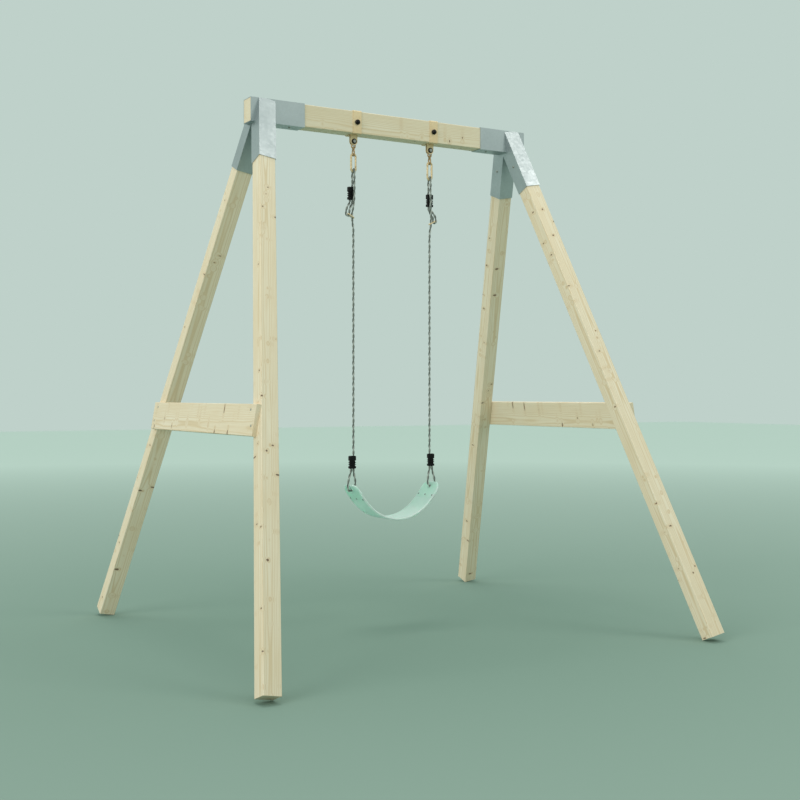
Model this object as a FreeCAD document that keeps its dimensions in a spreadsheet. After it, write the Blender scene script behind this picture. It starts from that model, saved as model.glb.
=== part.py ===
import FreeCAD, Part
import math
import os

import Sketcher
from FreeCAD import Placement, Rotation, Vector

# Free-standing timber swing: two splayed A-frames, a beam in welded sheet corner brackets, and a
# flexible belt seat on two ropes. Millimetres, +Z up. The origin is on the ground under the middle
# of the beam, X runs along the beam and the seat swings along Y.

os.makedirs("parts", exist_ok=True)
doc = FreeCAD.newDocument("timber_swing")

# ---------------------------------------------------------------- driving sizes

SIZES = [
    ("beam_length", 1380, "beam, end to end"),
    ("beam_width", 70, "beam section along Y"),
    ("beam_height", 95, "beam section along Z"),
    ("beam_centre_z", 2206, "beam axis above the ground"),
    ("wood_round", 3, "planed round on the long edges of the timber"),
    ("leg_side", 70, "square leg section"),
    ("leg_length", 2325, "leg, square cut at both ends"),
    ("splay_angle", 10, "outward lean of each A-frame"),
    ("leg_angle", 22.5, "each leg from the middle line of its A-frame"),
    ("apex_x", 618, "where the two leg axes of a frame cross"),
    ("apex_z", 2248.1, "height of that crossing"),
    ("sheet_wall", 1.5, "bracket sheet"),
    ("sleeve_gap", 1, "play between timber and sleeve, each side"),
    ("beam_sleeve_length", 245, "bracket sleeve on the beam"),
    ("leg_sleeve_end", 296.6, "apex to the lower end of a leg sleeve"),
    ("sleeve_overrun", 60, "leg sleeve past the apex before it is trimmed"),
    ("trim_size", 600, "block that trims the leg sleeves at the middle plane"),
    ("leg_screw_reach", 172.6, "apex to the screw in a leg sleeve"),
    ("beam_screw_x", 500, "bracket screw under the beam"),
    ("screw_shank", 5, "wood screw shank diameter"),
    ("screw_length", 45, "wood screw length under the head"),
    ("pan_head", 11, "pan head diameter of a bracket screw"),
    ("pan_height", 3, "pan head height"),
    ("sunk_head", 10, "countersunk head diameter of a brace screw"),
    ("sunk_depth", 3, "countersunk head depth"),
    ("brace_length", 1140, "cross board of an A-frame"),
    ("brace_height", 120, "cross board height"),
    ("brace_thick", 18, "cross board thickness"),
    ("brace_drop", 1340.7, "apex to the cross board's middle, down the frame"),
    ("brace_screw_up", 38, "upper screw above the board's middle"),
    ("brace_screw_down", 22, "lower screw below the board's middle"),
    ("brace_screw_up_y", 522, "upper screw from the frame's middle line"),
    ("brace_screw_down_y", 546, "lower screw from the frame's middle line"),
    ("hang_x", 194, "rope lines either side of the middle"),
    ("strap_width", 40, "hanger strap"),
    ("strap_thick", 3, "hanger strap"),
    ("strap_round", 4, "outer bend of the strap"),
    ("ear_gap", 8, "space between the two ears"),
    ("ear_width", 33, "ear width, also the round of its end"),
    ("ear_bolt_z", 2129.4, "ear bolt axis"),
    ("bolt_dia", 8, "bolt through the beam"),
    ("bolt_corner", 15, "hexagon of that bolt, across corners"),
    ("bolt_head", 5.3, "head height"),
    ("nut_height", 6.5, "nut height"),
    ("bolt_hole", 8.5, "hole for that bolt"),
    ("cap_dia", 22, "plastic cap over bolt head or nut"),
    ("cap_height", 12, "cap height"),
    ("cap_bore", 15.8, "hollow of the cap"),
    ("cap_bore_depth", 9.8, "depth of the hollow"),
    ("cap_dome", 12.5, "sphere radius of the cap's dome"),
    ("ear_bolt_dia", 10, "bolt through the ears"),
    ("ear_bolt_corner", 15, "hexagon of the ear bolt, across corners"),
    ("ear_nut_corner", 19.6, "hexagon of its nut, across corners"),
    ("ear_bolt_head", 3, "head height"),
    ("ear_nut_height", 8, "nut height"),
    ("ear_bolt_hole", 10.5, "hole in the ears"),
    ("washer_dia", 23, "ear bolt washer"),
    ("washer_thick", 3.5, "ear bolt washer"),
    ("thread_end", 2, "bolt past its nut"),
    ("link_wire", 6, "twisted double eye, bar diameter"),
    ("link_radius", 8.4, "eye radius at the bar's middle"),
    ("link_upper_span", 20.8, "straight part of the upper eye"),
    ("link_lower_span", 10.6, "straight part of the lower eye"),
    ("link_neck_dia", 8.64, "ball that joins the two eyes"),
    ("link_seat_gap", 0.5, "lower eye above the swing axis, its bar resting in the bow"),
    ("pivot_z", 2075, "swing axis, through the top bows of the carabiners"),
    ("hook_wire", 9, "carabiner bar diameter"),
    ("hook_radius", 11, "carabiner bow radius at the bar's middle"),
    ("hook_span", 54, "straight part of the carabiner"),
    ("nose_length", 5, "bar below the top bow on the gate side"),
    ("heel_length", 4.5, "bar above the bottom bow on the gate side"),
    ("gate_dia", 8, "gate bar"),
    ("gate_reach", 38.4, "gate rivet to gate tip"),
    ("gate_gap", 0.6, "gate tip to the end of the nose"),
    ("knuckle_dia", 7.52, "round of the gate about its rivet"),
    ("tongue_thick", 3, "flat of the heel inside the gate's fork"),
    ("fork_slot", 3.6, "slot of the gate's fork"),
    ("fork_depth", 9.2, "length of that slot, about the rivet"),
    ("rivet_dia", 2.5, "gate rivet"),
    ("rivet_hole", 2.6, "running hole in the gate"),
    ("rope_dia", 10, "twisted rope"),
    ("ring_wire", 5, "rope adjuster ring, bar diameter"),
    ("ring_radius", 8.3, "ring end radius at the bar's middle"),
    ("ring_span", 16, "straight part of the ring"),
    ("ring_tilt", 30, "ring, outer end up"),
    ("ring_x", 207.2, "ring centre, out from the middle"),
    ("ring_z", 1805.2, "ring centre above the ground"),
    ("clamp_width", 36, "rope clamp along X"),
    ("clamp_depth", 19, "rope clamp along Y"),
    ("clamp_height", 56, "rope clamp"),
    ("clamp_waist", 8, "waist, less than the head by this"),
    ("clamp_head", 19, "height of the clamp's head"),
    ("clamp_foot", 9, "height of the clamp's foot flange"),
    ("clamp_rib", 3.5, "height of each thin rib"),
    ("clamp_step", 1.5, "collar at each end of the clamp, at the waist's size"),
    ("rib_inset", 1.2, "ribs less than the head by this"),
    ("clamp_top_z", 1933, "upper clamp, top"),
    ("clamp_low_z", 764, "lower clamp, top"),
    ("clamp_shift", 6, "clamp centre outboard of the rope line"),
    ("seat_width", 140, "belt seat along Y"),
    ("seat_thick", 10, "belt seat"),
    ("seat_round", 42, "round of the belt's corners"),
    ("seat_low_z", 483.5, "middle surface of the belt at its lowest"),
    ("seat_mid_radius", 200, "bend in the middle of the belt"),
    ("seat_mid_angle", 42, "half angle of that bend"),
    ("seat_end_radius", 330, "bend towards the ends"),
    ("seat_hole_angle", 60, "slope of the belt at its holes"),
    ("seat_tip", 26, "hole to the tip of the belt"),
    ("seat_hole", 14, "rope hole"),
    ("rivet_back", 44, "seat rivets behind the hole"),
    ("seat_rivet_y", 57, "outer seat rivets from the middle"),
    ("seat_rivet_head", 8, "seat rivet head"),
    ("seat_rivet_rise", 1.2, "seat rivet head height"),
    ("seat_rivet_shank", 4, "seat rivet shank"),
    ("rope_play", 0.1, "rope clear of the bar that it bends round"),
    ("tail_play", 0.6, "rope tail clear of the main run's line"),
]

sheet = doc.addObject("Spreadsheet::Sheet", "dims")
for row, (alias, value, note) in enumerate(SIZES, start=1):
    sheet.set("A%d" % row, alias)
    sheet.set("B%d" % row, str(value))
    sheet.set("C%d" % row, note)
    sheet.setAlias("B%d" % row, alias)
doc.recompute()


def size(alias):
    """The value of one spreadsheet cell."""
    return float(sheet.get(alias))


X_AXIS = Vector(1, 0, 0)
Y_AXIS = Vector(0, 1, 0)
Z_AXIS = Vector(0, 0, 1)
SIDES = (("left", -1), ("right", 1))
NODES = []


def keep(obj, label):
    """Name an object as a finished piece and put it on the export list."""
    obj.Label = label
    NODES.append(obj)
    return obj


def bind(obj, **expressions):
    """Bind properties of an object to expressions of the sheet's cells."""
    for prop, expression in expressions.items():
        obj.setExpression(prop, expression)


# ---------------------------------------------------------------- primitives

def box(name, length, width, height, frame, x=-0.5, y=-0.5, z=-0.5):
    """A box in the given frame; x, y and z say where its corner lies, in parts of its sides."""
    obj = doc.addObject("Part::Box", name)
    bind(obj, Length=length, Width=width, Height=height)
    doc.recompute()
    corner = Vector(x * obj.Length.Value, y * obj.Width.Value, z * obj.Height.Value)
    obj.Placement = frame.multiply(Placement(corner, Rotation()))
    return obj


def cylinder(name, diameter, height, frame, back=0.0, angle=None):
    """A cylinder along the frame's Z, its base set back by that part of its height."""
    obj = doc.addObject("Part::Cylinder", name)
    bind(obj, Radius="(%s) / 2" % diameter, Height=height)
    if angle is not None:
        obj.Angle = angle
    doc.recompute()
    base = Vector(0, 0, -back * obj.Height.Value)
    obj.Placement = frame.multiply(Placement(base, Rotation()))
    return obj


def cone(name, bottom, top, height, frame):
    """A cone along the frame's Z from its bottom diameter to its top diameter."""
    obj = doc.addObject("Part::Cone", name)
    bind(obj, Radius1="(%s) / 2" % bottom, Radius2="(%s) / 2" % top, Height=height)
    obj.Placement = frame
    return obj


def hexagon(name, corner, height, frame):
    """A hexagonal prism along the frame's Z, sized across its corners."""
    obj = doc.addObject("Part::Prism", name)
    obj.Polygon = 6
    bind(obj, Circumradius="(%s) / 2" % corner, Height=height)
    obj.Placement = frame
    return obj


def half_torus(name, radius, wire, frame):
    """The half of a torus on the frame's +Y side, lying in the frame's XY plane."""
    obj = doc.addObject("Part::Torus", name)
    bind(obj, Radius1=radius, Radius2="(%s) / 2" % wire)
    obj.Angle3 = 180
    obj.Placement = frame
    return obj


def fuse(name, pieces):
    obj = doc.addObject("Part::MultiFuse", name)
    obj.Shapes = pieces
    return obj


def cut(name, base, tool):
    obj = doc.addObject("Part::Cut", name)
    obj.Base = base
    obj.Tool = tool
    return obj


def common(name, first, second):
    obj = doc.addObject("Part::MultiCommon", name)
    obj.Shapes = [first, second]
    return obj


def group(name, pieces):
    """Separate solids of one kind, kept together as one piece."""
    obj = doc.addObject("Part::Compound", name)
    obj.Links = pieces
    return obj


def at(x, y, z, rotation=None):
    return Placement(Vector(x, y, z), rotation or Rotation())


def facing(direction):
    """The turn that takes +Z to the given direction."""
    return Rotation(Z_AXIS, Vector(direction))


def along(start, direction):
    """A frame at a point with its Z along a direction."""
    return Placement(Vector(start), facing(direction))


# ---------------------------------------------------------------- sketched bodies

def origin_plane(body, role):
    return [plane for plane in body.Origin.OriginFeatures if plane.Role == role][0]


def new_sketch(body, role, name):
    sketch = body.newObject("Sketcher::SketchObject", name)
    sketch.AttachmentSupport = (origin_plane(body, role), [""])
    sketch.MapMode = "FlatFace"
    return sketch


def add_rectangle(sketch, width, height, middle=0.0):
    """A rectangle about the sketch's vertical axis, its middle at the given height."""
    low = middle - 20.0
    high = middle + 20.0
    corners = [Vector(-20, low, 0), Vector(20, low, 0), Vector(20, high, 0), Vector(-20, high, 0)]
    first = sketch.GeometryCount
    for i in range(4):
        sketch.addGeometry(Part.LineSegment(corners[i], corners[(i + 1) % 4]))
    for i in range(4):
        sketch.addConstraint(Sketcher.Constraint("Coincident", first + i, 2, first + (i + 1) % 4, 1))
    sketch.addConstraint(Sketcher.Constraint("Vertical", first + 1))
    sketch.addConstraint(Sketcher.Constraint("Horizontal", first + 2))
    sketch.addConstraint(Sketcher.Constraint("Vertical", first + 3))
    sketch.addConstraint(Sketcher.Constraint("Symmetric", first, 1, first, 2, -2))
    index = sketch.addConstraint(Sketcher.Constraint("DistanceX", first, 1, first, 2, 40.0))
    sketch.setExpression("Constraints[%d]" % index, width)
    index = sketch.addConstraint(Sketcher.Constraint("DistanceY", first + 1, 1, first + 1, 2, 40.0))
    sketch.setExpression("Constraints[%d]" % index, height)
    return first


def set_height(sketch, line, value):
    """Fix the height of a rectangle's bottom line above the sketch's origin."""
    index = sketch.addConstraint(Sketcher.Constraint("DistanceY", -1, 1, line, 1, -20.0))
    sketch.setExpression("Constraints[%d]" % index, value)


def add_circle(sketch, diameter, height=None):
    """A circle on the sketch's vertical axis."""
    index = sketch.addGeometry(Part.Circle(Vector(0, 5, 0), Z_AXIS, 5))
    sketch.addConstraint(Sketcher.Constraint("PointOnObject", index, 3, -2))
    place = sketch.addConstraint(Sketcher.Constraint("DistanceY", -1, 1, index, 3, 5.0))
    sketch.setExpression("Constraints[%d]" % place, height)
    width = sketch.addConstraint(Sketcher.Constraint("Diameter", index, 10.0))
    sketch.setExpression("Constraints[%d]" % width, diameter)


def pad(body, sketch, name, length):
    """A pad to both sides of the sketch."""
    feature = body.newObject("PartDesign::Pad", name)
    feature.Profile = sketch
    feature.SideType = "Symmetric"
    feature.setExpression("Length", length)
    doc.recompute()
    return feature


def pocket(body, sketch, name):
    """A pocket through all, to both sides of the sketch; it has to take material away."""
    before = body.Shape.Volume
    feature = body.newObject("PartDesign::Pocket", name)
    feature.Profile = sketch
    feature.SideType = "Symmetric"
    feature.Type = "ThroughAll"
    doc.recompute()
    if not body.Shape.Volume < before - 1.0:
        raise RuntimeError("%s cuts nothing" % name)
    return feature


def round_edges(body, base, name, radius, direction, wanted=4):
    """Round the straight edges of a feature that run along a direction."""
    names = []
    for number, edge in enumerate(base.Shape.Edges, start=1):
        if not isinstance(edge.Curve, (Part.Line, Part.LineSegment)):
            continue
        run = edge.tangentAt(edge.FirstParameter)
        if abs(abs(run.dot(direction)) - 1.0) < 1e-6:
            names.append("Edge%d" % number)
    if len(names) != wanted:
        raise RuntimeError("%s found %d edges" % (name, len(names)))
    feature = body.newObject("PartDesign::Fillet", name)
    feature.Base = (base, names)
    feature.setExpression("Radius", radius)
    doc.recompute()
    return feature


def plank(name, role, width, height, length, direction):
    """A straight piece of planed timber, padded both ways from one origin plane."""
    body = doc.addObject("PartDesign::Body", name)
    sketch = new_sketch(body, role, name + "_section")
    bottom = add_rectangle(sketch, width, height)
    set_height(sketch, bottom, "-(%s) / 2" % height)
    stock = pad(body, sketch, name + "_stock", length)
    round_edges(body, stock, name + "_rounds", "dims.wood_round", direction)
    return body


# ---------------------------------------------------------------- A-frame directions

def frame_turn(side):
    """Local X is square to the A-frame's plane, local Z runs up the frame."""
    return Rotation(Y_AXIS, -side * size("splay_angle"))


def apex(side):
    return Vector(side * size("apex_x"), 0, size("apex_z"))


def leg_turn(side, way):
    """Local Z runs up a leg; way is -1 for the front leg and 1 for the rear leg."""
    return frame_turn(side).multiply(Rotation(X_AXIS, way * size("leg_angle")))


splay = math.radians(size("splay_angle"))
half_open = math.radians(size("leg_angle"))
# A square-cut foot stands on its inner corner, so its middle is this far above the ground.
lean = (math.sin(splay), math.sin(half_open) * math.cos(splay))
foot_rise = (size("leg_side") / 2 - size("wood_round")) * sum(lean)
foot_rise += size("wood_round") * math.hypot(*lean)
foot_reach = (size("apex_z") - foot_rise) / (math.cos(splay) * math.cos(half_open))

# ---------------------------------------------------------------- timber

beam = plank("beam_body", "YZ_Plane", "dims.beam_width", "dims.beam_height", "dims.beam_length", X_AXIS)
beam.Placement = at(0, 0, size("beam_centre_z"))
bolt_holes = [
    cylinder("beam_bolt_hole_" + name, "dims.bolt_hole", "dims.beam_width * 2",
             along((side * size("hang_x"), 0, size("beam_centre_z")), Y_AXIS), 0.5)
    for name, side in SIDES]

legs = {}
for name, side in SIDES:
    for place, way in (("front", -1), ("rear", 1)):
        leg = plank("leg_%s_%s_body" % (place, name), "XY_Plane", "dims.leg_side", "dims.leg_side",
                    "dims.leg_length", Z_AXIS)
        turn = leg_turn(side, way)
        middle = Vector(0, 0, -foot_reach + size("leg_length") / 2)
        leg.Placement = Placement(apex(side) + turn.multVec(middle), turn)
        legs[place, name] = leg


# ---------------------------------------------------------------- fasteners

def wood_screw(name, start, direction, head, head_height, sunk):
    """A screw whose head's top, or underside if it is a pan head, is at start."""
    frame = along(start, direction)
    if sunk:
        top = cone(name + "_head", head, "dims.screw_shank", head_height, frame)
        shank = cylinder(name + "_shank", "dims.screw_shank", "dims.screw_length", frame)
    else:
        top = cone(name + "_head", "(%s) * 0.7" % head, head, head_height, frame)
        doc.recompute()
        top.Placement = frame.multiply(at(0, 0, -top.Height.Value))
        shank = cylinder(name + "_shank", "dims.screw_shank", "dims.screw_length", frame)
    return fuse(name, [top, shank])


def beam_bolt(name, x):
    """Hexagon bolt along +Y through the strap and the beam."""
    face = size("beam_width") / 2 + size("strap_thick")
    front = along((x, -face, size("beam_centre_z")), Y_AXIS)
    head_place = front.multiply(at(0, 0, -size("bolt_head")))
    head = hexagon(name + "_head", "dims.bolt_corner", "dims.bolt_head", head_place)
    shank = cylinder(name + "_shank", "dims.bolt_dia",
                     "dims.beam_width + 2 * dims.strap_thick + dims.nut_height + dims.thread_end", front)
    return fuse(name, [head, shank])


def nut(name, corner, height, bore, frame):
    blank = hexagon(name + "_blank", corner, height, frame)
    hole = cylinder(name + "_hole", bore, "(%s) * 2" % height, frame, 0.25)
    return cut(name, blank, hole)


def washer(name, bore, frame):
    blank = cylinder(name + "_blank", "dims.washer_dia", "dims.washer_thick", frame)
    hole = cylinder(name + "_hole", bore, "dims.washer_thick * 2", frame, 0.25)
    return cut(name, blank, hole)


def bolt_cap(name, frame):
    """A hollow domed cap, its open face on the frame's XY plane."""
    outside = cylinder(name + "_outside", "dims.cap_dia", "dims.cap_height", frame)
    ball = doc.addObject("Part::Sphere", name + "_ball")
    bind(ball, Radius="dims.cap_dome")
    ball.Placement = frame.multiply(at(0, 0, size("cap_height") - size("cap_dome")))
    skirt = cylinder(name + "_skirt", "dims.cap_dia", "dims.cap_height * 0.45", frame)
    dome = common(name + "_dome", outside, ball)
    hollow = cylinder(name + "_hollow", "dims.cap_bore", "dims.cap_bore_depth", frame)
    return cut(name, fuse(name + "_solid", [dome, skirt]), hollow)


# ---------------------------------------------------------------- corner brackets

screw_sets = {}
for name, side in SIDES:
    top_z = size("beam_centre_z") + size("beam_height") / 2 + size("sleeve_gap") + size("sheet_wall")
    outer = "+ 2 * (dims.sleeve_gap + dims.sheet_wall)"
    inner = "+ 2 * dims.sleeve_gap"
    sleeve_x = side * (size("beam_length") - size("beam_sleeve_length")) / 2
    sleeve = at(sleeve_x, 0, size("beam_centre_z"))
    beam_out = box("sleeve_out_" + name, "dims.beam_sleeve_length", "dims.beam_width " + outer,
                   "dims.beam_height " + outer, sleeve)
    beam_in = box("sleeve_in_" + name, "dims.beam_sleeve_length + 10", "dims.beam_width " + inner,
                  "dims.beam_height " + inner, sleeve)
    shells = [beam_out]
    hollows = []
    screws = []
    for place, way in (("front", -1), ("rear", 1)):
        tag = "%s_%s" % (place, name)
        turn = leg_turn(side, way)
        leg_frame = Placement(apex(side) + turn.multVec(Vector(0, 0, -size("leg_sleeve_end"))), turn)
        # Each leg sleeve stays on its own side of the middle plane and below the beam sleeve's top.
        trim = size("trim_size")
        half_space = at(apex(side).x, way * trim / 4, top_z - trim / 2)
        keep_out = box("clip_out_" + tag, "dims.trim_size", "dims.trim_size / 2", "dims.trim_size",
                       half_space)
        keep_in = box("clip_in_" + tag, "dims.trim_size", "dims.trim_size / 2", "dims.trim_size",
                      half_space)
        leg_out = box("leg_out_" + tag, "dims.leg_side " + outer, "dims.leg_side " + outer,
                      "dims.leg_sleeve_end + dims.sleeve_overrun", leg_frame, z=0)
        leg_in = box("leg_in_" + tag, "dims.leg_side " + inner, "dims.leg_side " + inner,
                     "dims.leg_sleeve_end + dims.sleeve_overrun + 5",
                     leg_frame.multiply(at(0, 0, -5)), z=0)
        shells.append(common("shell_" + tag, leg_out, keep_out))
        hollows.append(common("hollow_" + tag, leg_in, keep_in))
        half_out = size("leg_side") / 2 + size("sleeve_gap") + size("sheet_wall")
        seat_point = Vector(-side * half_out, 0, -size("leg_screw_reach"))
        screws.append(wood_screw("bracket_screw_" + tag, apex(side) + turn.multVec(seat_point),
                                 turn.multVec(Vector(side, 0, 0)), "dims.pan_head",
                                 "dims.pan_height", False))
    beam_seat = Vector(side * size("beam_screw_x"), 0, 2 * size("beam_centre_z") - top_z)
    screws.append(wood_screw("bracket_screw_beam_" + name, beam_seat, Z_AXIS, "dims.pan_head",
                             "dims.pan_height", False))
    screw_group = keep(group("bracket_screw_set_" + name, screws), "bracket_screws_" + name)
    screw_sets["bracket", name] = screw_group
    leg_hollows = cut("leg_hollows_" + name, fuse("hollow_pair_" + name, hollows), beam_out)
    weldment = fuse("weldment_" + name, shells)
    hollowed = cut("hollowed_" + name, weldment, fuse("hollow_all_" + name, [beam_in, leg_hollows]))
    keep(cut("drilled_" + name, hollowed, screw_group), "bracket_" + name)

# ---------------------------------------------------------------- cross boards

for name, side in SIDES:
    turn = frame_turn(side)
    offset = side * (size("leg_side") + size("brace_thick")) / 2
    board = plank("brace_stock_" + name, "XZ_Plane", "dims.brace_thick", "dims.brace_height",
                  "dims.brace_length", Y_AXIS)
    centre = Vector(offset, 0, -size("brace_drop"))
    board.Placement = Placement(apex(side) + turn.multVec(centre), turn)
    outer_face = side * (size("leg_side") / 2 + size("brace_thick"))
    screws = []
    for way in (-1, 1):
        for level, up, out in (("upper", size("brace_screw_up"), size("brace_screw_up_y")),
                               ("lower", -size("brace_screw_down"), size("brace_screw_down_y"))):
            point = Vector(outer_face, way * out, up - size("brace_drop"))
            tag = "%s_%s_%s" % (level, "front" if way < 0 else "rear", name)
            screws.append(wood_screw("brace_screw_" + tag, apex(side) + turn.multVec(point),
                                     turn.multVec(Vector(-side, 0, 0)), "dims.sunk_head",
                                     "dims.sunk_depth", True))
    screw_group = keep(group("brace_screw_set_" + name, screws), "brace_screws_" + name)
    screw_sets["brace", name] = screw_group
    keep(cut("brace_drilled_" + name, board, screw_group), "brace_" + name)

# Every screw has its own hole in the timber behind it.
for (place, name), leg in legs.items():
    pilots = group("pilots_%s_%s" % (place, name), [screw_sets["bracket", name], screw_sets["brace", name]])
    keep(cut("leg_drilled_%s_%s" % (place, name), leg, pilots), "leg_%s_%s" % (place, name))
beam_tools = group("beam_tools", bolt_holes + [screw_sets["bracket", name] for name, side in SIDES])
keep(cut("beam_drilled", beam, beam_tools), "beam")


# ---------------------------------------------------------------- hangers

def strap(name, x):
    """Strap round the beam whose ends turn in under it and hang down as two ears."""
    body = doc.addObject("PartDesign::Body", name)
    plate = "2 * dims.strap_thick"
    outside = new_sketch(body, "YZ_Plane", name + "_outside")
    line = add_rectangle(outside, "dims.beam_width + " + plate, "dims.beam_height + " + plate)
    set_height(outside, line, "-dims.beam_height / 2 - dims.strap_thick")
    block = pad(body, outside, name + "_block", "dims.strap_width")
    round_edges(body, block, name + "_bends", "dims.strap_round", X_AXIS)
    inside = new_sketch(body, "YZ_Plane", name + "_inside")
    line = add_rectangle(inside, "dims.beam_width", "dims.beam_height")
    set_height(inside, line, "-dims.beam_height / 2")
    pocket(body, inside, name + "_opening")
    drop = "(dims.beam_centre_z - dims.ear_bolt_z)"
    ears = new_sketch(body, "XZ_Plane", name + "_ear_outline")
    line = add_rectangle(ears, "dims.ear_width", drop + " - dims.beam_height / 2 - dims.strap_thick / 2")
    set_height(ears, line, "-" + drop)
    pad(body, ears, name + "_ear_block", "dims.ear_gap + " + plate)
    tips = new_sketch(body, "XZ_Plane", name + "_ear_round")
    add_circle(tips, "dims.ear_width", "-" + drop)
    pad(body, tips, name + "_ear_ends", "dims.ear_gap + " + plate)
    gap = new_sketch(body, "YZ_Plane", name + "_gap")
    line = add_rectangle(gap, "dims.ear_gap", drop + " - dims.beam_height / 2 + dims.ear_width")
    set_height(gap, line, "-%s - dims.ear_width" % drop)
    pocket(body, gap, name + "_ear_gap")
    holes = new_sketch(body, "XZ_Plane", name + "_holes")
    add_circle(holes, "dims.ear_bolt_hole", "-" + drop)
    pocket(body, holes, name + "_ear_hole")
    side_holes = new_sketch(body, "XZ_Plane", name + "_side_holes")
    circle = side_holes.addGeometry(Part.Circle(Vector(0, 0, 0), Z_AXIS, 4))
    side_holes.addConstraint(Sketcher.Constraint("Coincident", circle, 3, -1, 1))
    index = side_holes.addConstraint(Sketcher.Constraint("Diameter", circle, 8.0))
    side_holes.setExpression("Constraints[%d]" % index, "dims.bolt_hole")
    pocket(body, side_holes, name + "_bolt_hole")
    body.Placement = at(x, 0, size("beam_centre_z"))
    return body


def oval_ring(name, radius, wire, span, frame):
    """A closed ring of round bar in the frame's XY plane, its straight sides along Y."""
    rise = doc.addObject("Part::Torus", name + "_high")
    bind(rise, Radius1=radius, Radius2="(%s) / 2" % wire)
    rise.Angle3 = 180
    fall = doc.addObject("Part::Torus", name + "_low")
    bind(fall, Radius1=radius, Radius2="(%s) / 2" % wire)
    fall.Angle3 = 180
    bar_a = cylinder(name + "_bar_a", wire, span, frame)
    bar_b = cylinder(name + "_bar_b", wire, span, frame)
    reach = float(sheet.evalExpression(radius))
    step = float(sheet.evalExpression(span)) / 2
    rise.Placement = frame.multiply(at(0, step, 0))
    fall.Placement = frame.multiply(at(0, -step, 0, Rotation(Z_AXIS, 180)))
    bar_a.Placement = frame.multiply(at(reach, -step, 0, facing(Y_AXIS)))
    bar_b.Placement = frame.multiply(at(-reach, -step, 0, facing(Y_AXIS)))
    return [rise, fall, bar_a, bar_b]


UPRIGHT_XZ = Rotation(X_AXIS, 90)
UPRIGHT_YZ = Rotation(Z_AXIS, 90).multiply(UPRIGHT_XZ)

for name, side in SIDES:
    x = side * size("hang_x")
    keep(strap("strap_body_" + name, x), "hanger_strap_" + name)
    keep(beam_bolt("beam_bolt_solid_" + name, x), "beam_bolt_" + name)
    face = size("beam_width") / 2 + size("strap_thick")
    rear = along((x, face, size("beam_centre_z")), Y_AXIS)
    front = along((x, -face, size("beam_centre_z")), -Y_AXIS)
    keep(nut("beam_nut_solid_" + name, "dims.bolt_corner", "dims.nut_height", "dims.bolt_dia",
             rear), "beam_nut_" + name)
    keep(group("cap_pair_" + name, [bolt_cap("cap_front_" + name, front),
                                    bolt_cap("cap_rear_" + name, rear)]), "bolt_caps_" + name)

    ear_face = size("ear_gap") / 2 + size("strap_thick")
    ear_front = along((x, -ear_face, size("ear_bolt_z")), -Y_AXIS)
    ear_rear = along((x, ear_face, size("ear_bolt_z")), Y_AXIS)
    keep(group("ear_washer_pair_" + name, [
        washer("ear_washer_front_" + name, "dims.ear_bolt_dia", ear_front),
        washer("ear_washer_rear_" + name, "dims.ear_bolt_dia", ear_rear)]), "ear_washers_" + name)
    head_place = ear_front.multiply(at(0, 0, size("washer_thick")))
    head = hexagon("ear_head_" + name, "dims.ear_bolt_corner", "dims.ear_bolt_head", head_place)
    shank_start = along((x, -ear_face - size("washer_thick"), size("ear_bolt_z")), Y_AXIS)
    stack = "dims.ear_gap + 2 * (dims.strap_thick + dims.washer_thick)"
    shank = cylinder("ear_shank_" + name, "dims.ear_bolt_dia",
                     stack + " + dims.ear_nut_height + dims.thread_end", shank_start)
    keep(fuse("ear_bolt_solid_" + name, [head, shank]), "ear_bolt_" + name)
    nut_place = ear_rear.multiply(at(0, 0, size("washer_thick")))
    keep(nut("ear_nut_solid_" + name, "dims.ear_nut_corner", "dims.ear_nut_height",
             "dims.ear_bolt_dia", nut_place), "ear_nut_" + name)

    # Twisted double eye: the upper eye goes round the ear bolt, the lower eye carries the carabiner.
    upper_z = size("ear_bolt_z") - size("link_upper_span") / 2
    lower_z = size("pivot_z") + size("link_seat_gap") + size("link_lower_span") / 2
    pieces = oval_ring("upper_eye_" + name, "dims.link_radius", "dims.link_wire",
                       "dims.link_upper_span", at(x, 0, upper_z, UPRIGHT_XZ))
    pieces += oval_ring("lower_eye_" + name, "dims.link_radius", "dims.link_wire",
                        "dims.link_lower_span", at(x, 0, lower_z, UPRIGHT_YZ))
    neck = doc.addObject("Part::Sphere", "link_neck_" + name)
    bind(neck, Radius="dims.link_neck_dia / 2")
    upper_low = upper_z - size("link_upper_span") / 2 - size("link_radius")
    lower_high = lower_z + size("link_lower_span") / 2 + size("link_radius")
    neck.Placement = at(x, 0, (upper_low + lower_high) / 2)
    keep(fuse("link_solid_" + name, pieces + [neck]), "swivel_link_" + name)

# ---------------------------------------------------------------- carabiners

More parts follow.
